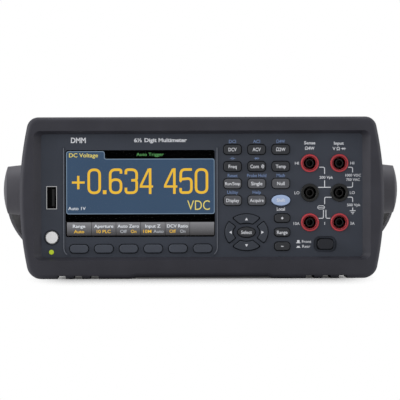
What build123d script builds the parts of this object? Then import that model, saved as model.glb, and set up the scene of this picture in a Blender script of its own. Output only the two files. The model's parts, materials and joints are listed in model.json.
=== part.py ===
from build123d import *
import math
import os

# Bench multimeter, millimetres.
# Origin on the bench under the middle, front towards -Y, +X to the right, +Z up.

# ---- overall sizes ----
depth_all = 303.2  # front bumper crest to rear bumper crest
height_all = 103.8  # bench to the top of the bumpers
case_w = 212.8  # sheet metal case, half rack
case_h = 88.3  # sheet metal case, two units high
case_z = 9.25  # underside of the case above the bench
case_wall = 1.2
case_corner = 2.0
fit = 0.3  # clearance between pieces that only lie beside each other
seat = 0.05  # clearance round pieces that are pressed or slid in

front_y = -depth_all / 2
rear_y = depth_all / 2
case_top = case_z + case_h
mid_z = case_z + case_h / 2

# ---- bumpers ----
bumper_half_end = case_w / 2 + 4.4  # half width at the bottom and top
bumper_half_mid = case_w / 2 + 10.6  # half width at the middle of the bulged sides
bumper_bottom_r = 9.5
bumper_top_r = 7.5
bumper_depth = 33.0
bumper_round = 3.0
opening_half = case_w / 2 - 3.1  # opening onto the front panel
opening_low = 13.8
opening_high = 93.0
opening_r = 2.3
side_bevel = 4.8
top_bevel = 2.0
bevel_depth = 5.6
foot_in = 46.0  # feet reach from here out to the corners
foot_ramp = 4.0
foot_lift = 1.0
foot_notches = (69.2, 79.8, 90.3)
notch_w = 5.4
notch_d = 2.0

# ---- front panel ----
panel_t = 3.5
panel_front = front_y + bevel_depth
panel_back = panel_front + panel_t
panel_half = case_w / 2 - fit
panel_low = case_z + fit
panel_high = case_top - fit

window_x = (-87.8, 8.3)
window_z = (26.8, 82.65)
window_r = 1.5
window_sink = 0.3
window_t = 1.5
ridge_x = (-88.9, 9.8)
ridge_z = (14.6, 84.6)
ridge_w = 0.9
ridge_h = 0.5
ridge_curl = 5.0

# ---- keys ----
key_gap = 0.5  # between a cap and its hole
key_proud = 1.3  # cap above the panel
key_travel = 1.0
key_round = 0.45
flange_t = 0.9
flange_lip = 1.1
key_w = 11.0
key_h = 6.2
key_r = 2.0
key_columns = (19.7, 35.2, 50.7)
key_rows = (82.8, 71.9, 60.9, 50.1)
key_names = (
    ("key_dcv", "key_acv", "key_ohms"),
    ("key_freq", "key_cont", "key_temp"),
    ("key_run_stop", "key_single", "key_null"),
    ("key_display", "key_acquire"),
)
shift_x = 50.7
shift_z = 50.1
shift_rx = 6.0
shift_ry = 3.5
softkey_x = (-79.1, -63.2, -47.3, -31.5, -15.6, 0.3)
softkey_z = 19.3
softkey_w = 11.7
softkey_h = 5.3
softkey_r = 2.4
side_key_x = 51.5
side_key_z = (38.6, 29.5, 20.5)
side_key_names = ("key_plus", "key_range", "key_minus")
side_key_w = 9.6
side_key_h = 5.2
nav_x = 28.5
nav_z = 29.6
nav_rx = 13.7
nav_ry = 11.7
nav_inner_rx = 8.9
nav_inner_ry = 6.0
nav_slant = 39.0  # direction of the spokes between the arrow keys
nav_spoke = 3.3
nav_corner = 0.9
select_rx = 5.6
select_ry = 3.2
nav_names = ("key_right", "key_up", "key_left", "key_down")
power_x = -96.6
power_z = 26.6
power_r = 3.85
power_rim_r = 5.1
led_x = -96.9
led_z = 17.2
led_r = 1.55
selector_x = 79.1
selector_z = 21.8
selector_w = 9.9
selector_h = 6.4
selector_travel = 3.0
selector_pocket_w = 14.7
selector_pocket_h = 10.2
selector_pocket_r = 4.0
selector_r = 2.6
pocket_d = 1.4
rod_r = 2.0
rod_back = -92.0

# ---- terminals ----
jack_pitch = 19.05  # standard spacing of 4 mm safety terminals
jack_x = (69.4, 69.4 + jack_pitch)
jack_z = (73.9, 73.9 - jack_pitch, 73.9 - 2 * jack_pitch)
jack_ring_r = 5.8
jack_shroud_r = 4.0
jack_proud = 0.9
jack_len = 28.0
jack_floor = 3.0
contact_r = 2.5
contact_bore_r = 2.0
contact_sink = 3.0
contact_tail = 4.0
usb_x = -96.6
usb_z = 52.2
usb_w = 6.0
usb_h = 14.0
usb_wall = 0.4
usb_len = 14.0
tongue_w = 1.6
tongue_h = 11.0

# ---- handle ----
hub_y = -90.0
hub_z = 56.7
hub_r = 16.8
hub_r_out = hub_r - 1.2
hub_in = bumper_half_mid + 0.4  # inner face of the hub
hub_edge = hub_in + 10.5
hub_out = hub_in + 13.2
pivot_r = 6.0
pivot_gap = 0.05  # running clearance in the hub
pivot_end = hub_in + 7.4
boss_r = hub_r - 2.8
arm_reach = 115.0  # hub centre to grip centre
grip_z = 4.7
grip_w = 24.0
grip_t = 8.0
grip_r = 3.6
arm_hub_r = hub_r - 3.3
arm_top = hub_in + 10.4  # outer face of the arm where it leaves the hub
arm_out = hub_in + 2.5  # and lower down
arm_wall = 2.4
ramp_start = 4.0
ramp_mid = (26.0, hub_in + 9.0)
ramp_end = 58.0
pocket_start = 6.0
pocket_end = 50.0
pocket_wall = 1.8  # thickness left outside the hollow

# ---- rear ----
rear_t = 2.0
rear_face = rear_y - 25.6
bnc_x = 26.0
bnc_z = (68.0, 42.0)
bnc_r = 4.8
bnc_wall = 0.75
bnc_len = 12.5
bnc_flange_r = 7.4
bnc_flange_t = 2.0
bnc_core_r = 2.4
lug_r = 0.9
lug_in = 5.0  # lugs behind the mouth of the socket
lan_x = -8.0
lan_z = 38.0
lan_w = 11.8
lan_h = 8.4
usb_b_x = -34.0
usb_b_w = 8.4
usb_b_h = 7.8
port_wall = 1.0
port_depth = 14.0
inlet_x = -78.0
inlet_z = 38.0
inlet_w = 24.4
inlet_h = 16.8
inlet_depth = 20.0
inlet_wall = 2.0
inlet_flange = 5.0
inlet_flange_t = 2.0
pin_len = 12.0
pin_w = 4.0
pin_t = 2.0
plate_x = -48.0
plate_z = 76.0
plate_w = 62.0
plate_h = 17.0
plate_t = 1.2

# ---- inside ----
board_t = 1.6
front_board_half = case_w / 2 - 5.4
front_board_z = (14.5, 92.0)
mat_t = 1.5
post_r = 2.5
tray_t = 1.2
tray_lip = 14.0
main_z = 17.0
main_half = case_w / 2 - 9.4
main_y = (-110.0, 48.0)
post_spots = ((-90.0, -100.0), (90.0, -100.0), (-90.0, 38.0), (90.0, 38.0), (0.0, -30.0))
pilot_r = 1.2
core_at = (-60.0, 78.0)
core_size = (56.0, 36.0, 46.0)
core_leg = 18.0
core_window = (10.0, 28.0)
coil_bulge = 6.0
shield_box = (22.0, 92.0, -96.0, -26.0, 24.0)
shield_t = 0.8
ribbon_x = -30.0
ribbon_w = 40.0
ribbon_t = 0.9
plug_y = -105.0  # front face of the ribbon's plug
plug_len = 6.0
screw_head_r = 2.8
screw_head_h = 1.7
screw_r = 1.45
rear_screws = ((-100.0, 17.0), (100.0, 17.0), (-100.0, 90.0), (100.0, 90.0))

# ---- places that follow from the sizes above ----
board_front = panel_back + fit + flange_t + key_travel + fit + mat_t
board_back = board_front + board_t
case_front = panel_back + fit
case_back = rear_face - rear_t - fit
tray_z = case_z + case_wall
case_in_half = case_w / 2 - case_wall
arm_drop = math.asin((hub_z - grip_z) / arm_reach)
grip_y = hub_y + arm_reach * math.cos(arm_drop)
hub_axis = Axis((0, hub_y, hub_z), (1, 0, 0))
front_jacks = [(x, z) for z in jack_z for x in jack_x]
red_front = [spot for spot in front_jacks if spot[1] != jack_z[1]]
dark_front = [spot for spot in front_jacks if spot[1] == jack_z[1]]
rear_jacks = front_jacks[:5]
red_rear = [spot for spot in rear_jacks if spot[1] != jack_z[1]]
dark_rear = [spot for spot in rear_jacks if spot[1] == jack_z[1]]

os.makedirs("parts", exist_ok=True)


def facing(y, x=0.0, z=0.0):
    """A plane at depth y that faces the front, with its axes along +X and +Z."""
    return Plane(origin=(x, y, z), x_dir=(1, 0, 0), z_dir=(0, -1, 0))


def save(piece, label):
    """Name a finished piece and write its file."""
    piece.part.label = label
    export_step(piece.part, f"parts/{label}.step")


def draw_block(low, high):
    """Draw a rectangle between two corners."""
    with Locations(((low[0] + high[0]) / 2, (low[1] + high[1]) / 2)):
        Rectangle(high[0] - low[0], high[1] - low[1])


# ---- bumpers ----
def bumper_line():
    """Outline seen from the front: bulged sides, square corners and two feet."""
    middle = height_all / 2
    with BuildLine() as line:
        ThreePointArc((bumper_half_end, 0), (bumper_half_mid, middle), (bumper_half_end, height_all))
        Line((bumper_half_end, height_all), (-bumper_half_end, height_all))
        ThreePointArc((-bumper_half_end, height_all), (-bumper_half_mid, middle), (-bumper_half_end, 0))
        Polyline(
            (-bumper_half_end, 0),
            (-foot_in, 0),
            (-foot_in + foot_ramp, foot_lift),
            (foot_in - foot_ramp, foot_lift),
            (foot_in, 0),
            (bumper_half_end, 0),
        )
    return line.line


def make_bumper(crest, inward):
    """A rubber ring that wraps one end of the case; inward is +1 at the front and -1 at the rear."""
    back = crest + inward * bumper_depth
    low, high = min(crest, back), max(crest, back)
    with BuildPart() as bumper:
        with BuildSketch(facing(high)) as outline:
            add(bumper_line())
            make_face()
            ends = outline.vertices().filter_by(lambda v: abs(abs(v.X) - bumper_half_end) < 0.01)
            fillet(ends.filter_by(lambda v: v.Y < height_all / 2), bumper_bottom_r)
            ends = outline.vertices().filter_by(lambda v: abs(abs(v.X) - bumper_half_end) < 0.01)
            fillet(ends.filter_by(lambda v: v.Y > height_all / 2), bumper_top_r)
        extrude(amount=high - low)
        crest_faces = bumper.faces().filter_by(Axis.Y).sort_by(Axis.Y)
        crest_face = crest_faces[0] if inward > 0 else crest_faces[-1]
        fillet(crest_face.edges(), bumper_round)
        # the case and the panel go in from behind the lip
        lip = crest + inward * bevel_depth
        with BuildSketch(facing(max(lip, back))):
            with Locations((0, mid_z)):
                RectangleRounded(case_w + 2 * fit, case_h + 2 * fit, case_corner + fit)
        extrude(amount=abs(back - lip), mode=Mode.SUBTRACT)
        # bevelled opening through the lip
        with BuildSketch(facing(lip)):
            with Locations((0, (opening_low + opening_high) / 2)):
                RectangleRounded(2 * opening_half, opening_high - opening_low, opening_r)
        with BuildSketch(facing(crest)):
            with Locations((0, (opening_low + opening_high) / 2)):
                RectangleRounded(
                    2 * (opening_half + side_bevel),
                    opening_high - opening_low + 2 * top_bevel,
                    opening_r + top_bevel,
                )
        loft(ruled=True, mode=Mode.SUBTRACT)
        # grooves across the soles of the feet
        with BuildSketch(facing(high)):
            with Locations([(side * spot, 0) for side in (-1, 1) for spot in foot_notches]):
                RectangleRounded(notch_w, 2 * notch_d, notch_d / 3)
        extrude(amount=high - low, mode=Mode.SUBTRACT)
    return bumper


front_bumper = make_bumper(front_y, 1)
save(front_bumper, "front_bumper")
rear_bumper = make_bumper(rear_y, -1)
save(rear_bumper, "rear_bumper")


# ---- case sleeve, with slots in both sides ----
vent_y = 60.0
vent_pitch = 7.0
vent_count = 14
vent_w = 3.0
vent_h = 18.0
vent_rows = 26.0

with BuildPart() as case_sleeve:
    with BuildSketch(facing(case_back)):
        with Locations((0, mid_z)):
            RectangleRounded(case_w, case_h, case_corner)
            RectangleRounded(
                case_w - 2 * case_wall, case_h - 2 * case_wall, case_corner - case_wall, mode=Mode.SUBTRACT
            )
    extrude(amount=case_back - case_front)
    with BuildSketch(Plane.YZ.offset(-case_w / 2 - 1)):
        with Locations((vent_y, mid_z)):
            with GridLocations(vent_pitch, vent_rows, vent_count, 2):
                SlotOverall(vent_h, vent_w, rotation=90)
    extrude(amount=case_w + 2, mode=Mode.SUBTRACT)
save(case_sleeve, "case_sleeve")


# ---- key outlines, shared by the caps and their holes ----
def draw_nav_key(turn, grow):
    """One arrow key between two ellipses and two slanted spokes; turn 0 is the right one."""
    Ellipse(nav_rx + grow, nav_ry + grow)
    Ellipse(nav_inner_rx - grow, nav_inner_ry - grow, mode=Mode.SUBTRACT)
    slant = math.radians(nav_slant if turn % 2 == 0 else 90 - nav_slant)
    start = (nav_spoke / 2 - grow) / math.sin(slant)
    reach = 3 * nav_rx
    far = (start + reach * math.cos(slant), reach * math.sin(slant))
    wedge = [(start, 0), far, (far[0], -far[1])]
    Polygon(*wedge, rotation=90 * turn, align=None, mode=Mode.INTERSECT)
    fillet(vertices().filter_by(lambda v: abs(v.Y) > 0.01), nav_corner)


def draw_oval(grow):
    Ellipse(shift_rx + grow, shift_ry + grow)


def draw_select(grow):
    Ellipse(select_rx + grow, select_ry + grow)


def draw_round(grow):
    Circle(power_r + grow)


def draw_rounded(width, height, radius, grow):
    RectangleRounded(width + 2 * grow, height + 2 * grow, radius + grow)


keys = {}  # name: (x, z, outline)
for row, names in zip(key_rows, key_names):
    for column, name in zip(key_columns, names):
        keys[name] = (column, row, lambda grow: draw_rounded(key_w, key_h, key_r, grow))
keys["key_shift"] = (shift_x, shift_z, draw_oval)
for index, place in enumerate(softkey_x):
    keys[f"softkey_{index + 1}"] = (
        place,
        softkey_z,
        lambda grow: draw_rounded(softkey_w, softkey_h, softkey_r, grow),
    )
for place, name in zip(side_key_z, side_key_names):
    keys[name] = (side_key_x, place, lambda grow: draw_rounded(side_key_w, side_key_h, key_r, grow))
for index, name in enumerate(nav_names):
    keys[name] = (nav_x, nav_z, lambda grow, turn=index: draw_nav_key(turn, grow))
keys["key_select"] = (nav_x, nav_z, draw_select)
keys["power_button"] = (power_x, power_z, draw_round)


def make_key(x, z, outline):
    """A cap through the panel with a flange that keeps it in from behind."""
    flange_back = panel_back + fit + flange_t
    with BuildPart() as key:
        with BuildSketch(facing(flange_back, x, z)):
            outline(flange_lip)
        extrude(amount=flange_t)
        with BuildSketch(facing(flange_back, x, z)):
            outline(0.0)
        extrude(amount=flange_back - panel_front + key_proud)
        fillet(key.faces().sort_by(Axis.Y)[0].edges(), key_round)
    return key


# ---- front panel ----
post_places = ((-97.5, 89.0), (97.0, 89.0), (62.5, 18.0), (-89.5, 89.0), (97.0, 18.0), (62.0, 90.0))

with BuildPart() as front_panel:
    with BuildSketch(facing(panel_back)):
        with Locations((0, (panel_low + panel_high) / 2)):
            RectangleRounded(2 * panel_half, panel_high - panel_low, case_corner)
        with Locations((sum(window_x) / 2, sum(window_z) / 2)):
            RectangleRounded(
                window_x[1] - window_x[0], window_z[1] - window_z[0], window_r, mode=Mode.SUBTRACT
            )
        with Locations(*front_jacks):
            Circle(jack_ring_r + seat, mode=Mode.SUBTRACT)
        with Locations((usb_x, usb_z)):
            Rectangle(usb_w + 2 * (usb_wall + seat), usb_h + 2 * (usb_wall + seat), mode=Mode.SUBTRACT)
        with Locations((led_x, led_z)):
            Circle(led_r + seat, mode=Mode.SUBTRACT)
        with Locations((selector_x, selector_z)):
            RectangleRounded(
                selector_w + 2 * key_gap, selector_h + 2 * key_gap, key_r, mode=Mode.SUBTRACT
            )
    extrude(amount=panel_t)
    # key holes
    for x, z, outline in keys.values():
        with BuildSketch(facing(panel_back, x, z)):
            outline(key_gap)
        extrude(amount=panel_t, mode=Mode.SUBTRACT)
    # sunk surrounds of the selector and the power button
    with BuildSketch(facing(panel_front + pocket_d)):
        with Locations((selector_x, selector_z)):
            RectangleRounded(selector_pocket_w, selector_pocket_h, selector_pocket_r)
        with Locations((power_x, power_z)):
            Circle(power_rim_r)
    extrude(amount=pocket_d, mode=Mode.SUBTRACT)
    # raised lines down both sides of the display, curling in at the foot
    for x, inward in zip(ridge_x, (1, -1)):
        with BuildSketch(facing(panel_front)):
            with BuildLine():
                Line((x, ridge_z[1]), (x, ridge_z[0] + ridge_curl))
                JernArc((x, ridge_z[0] + ridge_curl), (0, -1), ridge_curl, 70 * inward)
            trace(line_width=ridge_w)
        extrude(amount=ridge_h)
    # posts that carry the front board
    with BuildSketch(facing(board_front)):
        with Locations(*post_places):
            Circle(post_r)
    extrude(amount=board_front - panel_back)
save(front_panel, "front_panel")

for name, (x, z, outline) in keys.items():
    save(make_key(x, z, outline), name)

# ---- display ----
with BuildPart() as display_window:
    with BuildSketch(facing(panel_front + window_sink + window_t)):
        with Locations((sum(window_x) / 2, sum(window_z) / 2)):
            RectangleRounded(
                window_x[1] - window_x[0] - 2 * seat, window_z[1] - window_z[0] - 2 * seat, window_r
            )
    extrude(amount=window_t)
save(display_window, "display_window")

glass_back = panel_front + window_sink + window_t
module_edge = 1.6
with BuildPart() as display_module:
    with BuildSketch(facing(board_front)):
        with Locations((sum(window_x) / 2, sum(window_z) / 2)):
            Rectangle(
                window_x[1] - window_x[0] + 2 * module_edge, window_z[1] - window_z[0] + 2 * module_edge
            )
    extrude(amount=board_front - panel_back)
    with BuildSketch(facing(panel_back)):
        with Locations((sum(window_x) / 2, sum(window_z) / 2)):
            RectangleRounded(
                window_x[1] - window_x[0] - 2 * fit, window_z[1] - window_z[0] - 2 * fit, window_r
            )
    extrude(amount=panel_back - glass_back)
save(display_module, "display_module")

# ---- key mat and front board ----
mat_keys = ((13.4, 14.2), (58.6, 87.6))
mat_soft = ((-86.5, 15.2), (13.4, 23.4))
with BuildPart() as key_mat:
    with BuildSketch(facing(board_front)):
        draw_block(*mat_keys)
        draw_block(*mat_soft)
    extrude(amount=mat_t)
save(key_mat, "key_mat")

with BuildPart() as front_board:
    with BuildSketch(facing(board_back)):
        draw_block((-front_board_half, front_board_z[0]), (front_board_half, front_board_z[1]))
        with Locations(*front_jacks):
            Circle(jack_ring_r + fit, mode=Mode.SUBTRACT)
        with Locations((usb_x, usb_z)):
            Rectangle(usb_w + 2 * (usb_wall + fit), usb_h + 2 * (usb_wall + fit), mode=Mode.SUBTRACT)
        with Locations((selector_x, selector_z)):
            Rectangle(selector_w + 4, selector_h + 4, mode=Mode.SUBTRACT)
    extrude(amount=board_t)
save(front_board, "front_board")

# ---- front socket and lamp ----
usb_front = panel_front - 0.4
with BuildPart() as usb_port:
    with BuildSketch(facing(usb_front + usb_len)):
        with Locations((usb_x, usb_z)):
            Rectangle(usb_w + 2 * usb_wall, usb_h + 2 * usb_wall)
            Rectangle(usb_w, usb_h, mode=Mode.SUBTRACT)
    extrude(amount=usb_len)
    with BuildSketch(facing(usb_front + usb_len)):
        with Locations((usb_x, usb_z)):
            Rectangle(usb_w, usb_h)
    extrude(amount=usb_wall)
save(usb_port, "usb_port")

with BuildPart() as usb_tongue:
    with BuildSketch(facing(usb_front + usb_len - usb_wall)):
        with Locations((usb_x + 1.0, usb_z)):
            Rectangle(tongue_w, tongue_h)
    extrude(amount=usb_len - usb_wall - 1.5)
save(usb_tongue, "usb_tongue")

with BuildPart() as led_lens:
    with BuildSketch(facing(board_front)):
        with Locations((led_x, led_z)):
            Circle(led_r)
    extrude(amount=board_front - panel_front + 0.3)
    fillet(led_lens.faces().sort_by(Axis.Y)[0].edges(), 0.25)
save(led_lens, "led_lens")

# ---- selector button and the rod behind it ----
selector_back = panel_back + fit
with BuildPart() as selector_button:
    with BuildSketch(facing(selector_back + 2.0)):
        with Locations((selector_x, selector_z)):
            RectangleRounded(selector_w + 2.0, selector_h + 2.0, key_r)
    extrude(amount=2.0)
    with BuildSketch(facing(selector_back)):
        with Locations((selector_x, selector_z)):
            RectangleRounded(selector_w, selector_h, selector_r)
    extrude(amount=selector_back - panel_front + selector_travel + 0.4)
    fillet(selector_button.faces().sort_by(Axis.Y)[0].edges(), key_round)
save(selector_button, "selector_button")

with BuildPart() as selector_rod:
    with BuildSketch(facing(rod_back)):
        with Locations((selector_x, selector_z)):
            Circle(rod_r)
    extrude(amount=rod_back - selector_back - 2.0)
save(selector_rod, "selector_rod")


# ---- terminals ----
def make_jack_rings(front_spots, rear_spots):
    """Plastic shrouds with a floor, at the front and the rear."""
    ends = (
        (front_spots, panel_front - jack_proud, 1),
        (rear_spots, rear_face + jack_proud, -1),
    )
    with BuildPart() as rings:
        for spots, mouth, inward in ends:
            back = mouth + inward * jack_len
            floor_edge = back - inward * jack_floor
            with BuildSketch(facing(max(mouth, back))):
                with Locations(*spots):
                    Circle(jack_ring_r)
                    Circle(jack_shroud_r, mode=Mode.SUBTRACT)
            extrude(amount=jack_len)
            with BuildSketch(facing(max(back, floor_edge))):
                with Locations(*spots):
                    Circle(jack_ring_r)
                    Circle(contact_r + seat, mode=Mode.SUBTRACT)
            extrude(amount=jack_floor)
        rims = rings.edges().filter_by(GeomType.CIRCLE).group_by(Axis.Y)
        fillet(rims[0] + rims[-1], 0.4)
    return rings


save(make_jack_rings(red_front, red_rear), "jack_rings_red")
save(make_jack_rings(dark_front, dark_rear), "jack_rings_black")

with BuildPart() as jack_contacts:
    ends = (
        (front_jacks, panel_front - jack_proud, 1),
        (rear_jacks, rear_face + jack_proud, -1),
    )
    for spots, mouth, inward in ends:
        start = mouth + inward * contact_sink
        end = mouth + inward * (jack_len + contact_tail)
        with BuildSketch(facing(max(start, end))):
            with Locations(*spots):
                Circle(contact_r)
        extrude(amount=abs(end - start))
        bore_end = end - inward * contact_tail
        with BuildSketch(facing(max(start, bore_end))):
            with Locations(*spots):
                Circle(contact_bore_r)
        extrude(amount=abs(bore_end - start), mode=Mode.SUBTRACT)
save(jack_contacts, "jack_contacts")

# ---- handle pivots on the case sides ----
with BuildPart() as handle_pivots:
    for side in (-1, 1):
        with BuildSketch(Plane.YZ.offset(side * case_w / 2)):
            with Locations((hub_y, hub_z)):
                Circle(boss_r)
        extrude(amount=side * (hub_in - fit - case_w / 2))
        with BuildSketch(Plane.YZ.offset(side * case_w / 2)):
            with Locations((hub_y, hub_z)):
                Circle(pivot_r)
        extrude(amount=side * (pivot_end - case_w / 2))
save(handle_pivots, "handle_pivots")


# ---- handle: two domed hubs, two arms and the grip in one moulding ----
def make_hub(side):
    """A tapered disc with a domed outer face, turned round the pivot axis."""
    rise = hub_out - hub_edge
    dome_r = (rise**2 + hub_r_out**2) / (2 * rise)
    half_turn = math.asin(hub_r_out / dome_r) / 2
    dome_mid = (hub_out - dome_r * (1 - math.cos(half_turn)), dome_r * math.sin(half_turn))
    with BuildPart() as hub:
        with BuildSketch(facing(hub_y, 0, hub_z)):
            with BuildLine():
                Polyline(
                    (side * hub_out, 0),
                    (side * hub_in, 0),
                    (side * hub_in, hub_r),
                    (side * hub_edge, hub_r_out),
                )
                ThreePointArc(
                    (side * hub_edge, hub_r_out), (side * dome_mid[0], dome_mid[1]), (side * hub_out, 0)
                )
            make_face()
        revolve(axis=hub_axis)
    return hub.part


def make_arm(side):
    """A tapering arm whose outer face ramps in to the thin lower stretch."""
    along = Plane(
        origin=(0, hub_y, hub_z),
        x_dir=(0, math.cos(arm_drop), -math.sin(arm_drop)),
        z_dir=(0, math.sin(arm_drop), math.cos(arm_drop)),
    )  # local x runs down the arm, local y is -X
    inner = -side * hub_in

    def ramp(cut):
        start = (ramp_start, -side * (arm_top - cut))
        middle = (ramp_mid[0], -side * (ramp_mid[1] - cut))
        return start, middle, (ramp_end, -side * (arm_out - cut))

    with BuildPart() as arm:
        with BuildSketch(Plane.YZ.offset(side * hub_in)):
            with Locations((hub_y, hub_z)):
                Circle(arm_hub_r)
            with Locations((grip_y, grip_z)):
                RectangleRounded(grip_w, grip_t, grip_r)
            make_hull()
        extrude(amount=side * (arm_top - hub_in))
        # outer face: level over the hub, then ramped in, then level again
        start, middle, end = ramp(0.0)
        far = (arm_reach + grip_w, end[1])
        with BuildSketch(along.offset(-2 * hub_r)):
            with BuildLine():
                ThreePointArc(start, middle, end)
                Polyline(end, far, (far[0], 1.2 * start[1]), (start[0], 1.2 * start[1]), start)
            make_face()
        extrude(amount=4 * hub_r, mode=Mode.SUBTRACT)
        # hollow behind the ramp, open to the lower front edge
        start, middle, end = ramp(pocket_wall)
        with BuildSketch(along.offset(arm_hub_r - 2 * arm_wall)):
            with BuildLine():
                ThreePointArc(start, middle, end)
                Polyline(end, (end[0], 0.9 * inner), (start[0], 0.9 * inner), start)
            make_face()
            with Locations(((pocket_start + pocket_end) / 2, inner)):
                Rectangle(pocket_end - pocket_start, 4 * hub_r, mode=Mode.INTERSECT)
        extrude(amount=-3 * hub_r, mode=Mode.SUBTRACT)
    return arm.part


with BuildPart() as handle_frame:
    for hand in (-1, 1):
        add(make_hub(hand))
        add(make_arm(hand))
    with BuildSketch(Plane.YZ.offset(-arm_out)):
        with Locations((grip_y, grip_z)):
            RectangleRounded(grip_w, grip_t, grip_r)
    extrude(amount=2 * arm_out)
    with BuildSketch(Plane.YZ.offset(-pivot_end - fit)):
        with Locations((hub_y, hub_z)):
            Circle(pivot_r + pivot_gap)
    extrude(amount=2 * (pivot_end + fit), mode=Mode.SUBTRACT)
save(handle_frame, "handle_frame")

# ---- chassis tray ----
with BuildPart() as chassis:
    tray_front = board_back + 4.0
    tray_half = case_in_half - case_corner
    with BuildSketch(Plane.XY.offset(tray_z)):
        draw_block((-tray_half, tray_front), (tray_half, case_back))
    extrude(amount=tray_t)
    with BuildSketch(Plane.XY.offset(tray_z)):
        draw_block((-tray_half, tray_front), (-tray_half + tray_t, case_back))
        draw_block((tray_half - tray_t, tray_front), (tray_half, case_back))
    extrude(amount=tray_lip)
    with BuildSketch(Plane.XY.offset(tray_z + tray_t)):
        with Locations(*post_spots):
            Circle(post_r)
    extrude(amount=main_z - tray_z - tray_t)
    with BuildSketch(Plane.XY.offset(main_z)):
        with Locations(*post_spots):
            Circle(pilot_r + seat)
    extrude(amount=-(main_z - tray_z - tray_t), mode=Mode.SUBTRACT)
save(chassis, "chassis")

# ---- main board, its components and the shield ----
board_top = main_z + board_t
with BuildPart() as main_board:
    with BuildSketch(Plane.XY.offset(main_z)):
        draw_block((-main_half, main_y[0]), (main_half, main_y[1]))
        with Locations(*post_spots):
            Circle(pilot_r + seat, mode=Mode.SUBTRACT)
    extrude(amount=board_t)
save(main_board, "main_board")

chips = (
    (-60.0, -60.0, 22.0, 22.0, 2.4),
    (-25.0, -70.0, 14.0, 14.0, 1.8),
    (-70.0, -20.0, 16.0, 10.0, 2.0),
    (-40.0, 10.0, 30.0, 12.0, 11.0),
    (-84.0, 22.0, 12.0, 24.0, 20.0),
    (10.0, 30.0, 24.0, 10.0, 9.0),
    (50.0, 20.0, 16.0, 28.0, 14.0),
    (ribbon_x, plug_y + plug_len / 2, ribbon_w + 4.0, plug_len, 7.0),
)
capacitors = (
    (-20.0, 28.0, 8.0, 30.0),
    (-6.0, 8.0, 6.0, 22.0),
    (20.0, 8.0, 5.0, 16.0),
    (80.0, 8.0, 6.5, 24.0),
)
with BuildPart() as board_components:
    for x, y, width, length, height in chips:
        with BuildSketch(Plane.XY.offset(board_top)):
            with Locations((x, y)):
                Rectangle(width, length)
        extrude(amount=height)
    for x, y, radius, height in capacitors:
        with BuildSketch(Plane.XY.offset(board_top)):
            with Locations((x, y)):
                Circle(radius)
        extrude(amount=height)
save(board_components, "board_components")

block_w = 14.0
block_len = 22.0
block_h = 2 * (selector_z - board_top)
with BuildPart() as selector_switch:
    with BuildSketch(Plane.XY.offset(board_top)):
        with Locations((selector_x, -100.0 + block_len / 2)):
            Rectangle(block_w, block_len)
    extrude(amount=block_h)
    with BuildSketch(facing(-100.0 + block_len)):
        with Locations((selector_x, selector_z)):
            Circle(rod_r + seat)
    extrude(amount=block_len, mode=Mode.SUBTRACT)
save(selector_switch, "selector_switch")

with BuildPart() as analog_shield:
    x0, x1, y0, y1, height = shield_box
    with BuildSketch(Plane.XY.offset(board_top)):
        draw_block((x0, y0 + 20), (x1, y1))
    extrude(amount=height)
    with BuildSketch(Plane.XY.offset(board_top)):
        draw_block((x0 + shield_t, y0 + 20 + shield_t), (x1 - shield_t, y1 - shield_t))
    extrude(amount=height - shield_t, mode=Mode.SUBTRACT)
save(analog_shield, "analog_shield")

# ---- transformer ----
core_z = tray_z + tray_t
with BuildPart() as transformer_core:
    with BuildSketch(facing(core_at[1] + core_size[1] / 2)):
        with Locations((core_at[0], core_z + core_size[2] / 2)):
            Rectangle(core_size[0], core_size[2])
            with GridLocations(core_leg + core_window[0], 1, 2, 1):
                Rectangle(core_window[0], core_window[1], mode=Mode.SUBTRACT)
    extrude(amount=core_size[1])
save(transformer_core, "transformer_core")

coil_gap = 0.2
with BuildPart() as transformer_coil:
    with BuildSketch(Plane.XY.offset(core_z + (core_size[2] - core_window[1]) / 2 + coil_gap)):
        with Locations(core_at):
            RectangleRounded(
                core_leg + 2 * core_window[0] - 2 * coil_gap, core_size[1] + 2 * coil_bulge, 4
            )
            Rectangle(core_leg + 2 * coil_gap, core_size[1] + 2 * coil_gap, mode=Mode.SUBTRACT)
    extrude(amount=core_window[1] - 2 * coil_gap)
save(transformer_coil, "transformer_coil")

# ---- rear panel and what is on it ----
with BuildPart() as rear_panel:
    with BuildSketch(facing(rear_face)):
        with Locations((0, mid_z)):
            RectangleRounded(2 * panel_half, case_h - 2 * fit, case_corner)
        with Locations(*rear_jacks):
            Circle(jack_ring_r + seat, mode=Mode.SUBTRACT)
        with Locations(*[(bnc_x, z) for z in bnc_z]):
            Circle(bnc_r + seat, mode=Mode.SUBTRACT)
        with Locations((lan_x, lan_z)):
            Rectangle(lan_w + 2 * (port_wall + seat), lan_h + 2 * (port_wall + seat), mode=Mode.SUBTRACT)
        with Locations((usb_b_x, lan_z)):
            Rectangle(
                usb_b_w + 2 * (port_wall + seat), usb_b_h + 2 * (port_wall + seat), mode=Mode.SUBTRACT
            )
        with Locations((inlet_x, inlet_z)):
            Rectangle(
                inlet_w + 2 * (inlet_wall + seat), inlet_h + 2 * (inlet_wall + seat), mode=Mode.SUBTRACT
            )
        with Locations((plate_x, plate_z)):
            Rectangle(plate_w - 10, plate_h - 5, mode=Mode.SUBTRACT)
        with Locations(*rear_screws):
            Circle(screw_r + seat, mode=Mode.SUBTRACT)
    extrude(amount=rear_t)
save(rear_panel, "rear_panel")

with BuildPart() as blank_plate:
    with BuildSketch(facing(rear_face + plate_t)):
        with Locations((plate_x, plate_z)):
            RectangleRounded(plate_w, plate_h, 1.5)
    extrude(amount=plate_t)
save(blank_plate, "blank_plate")

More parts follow.
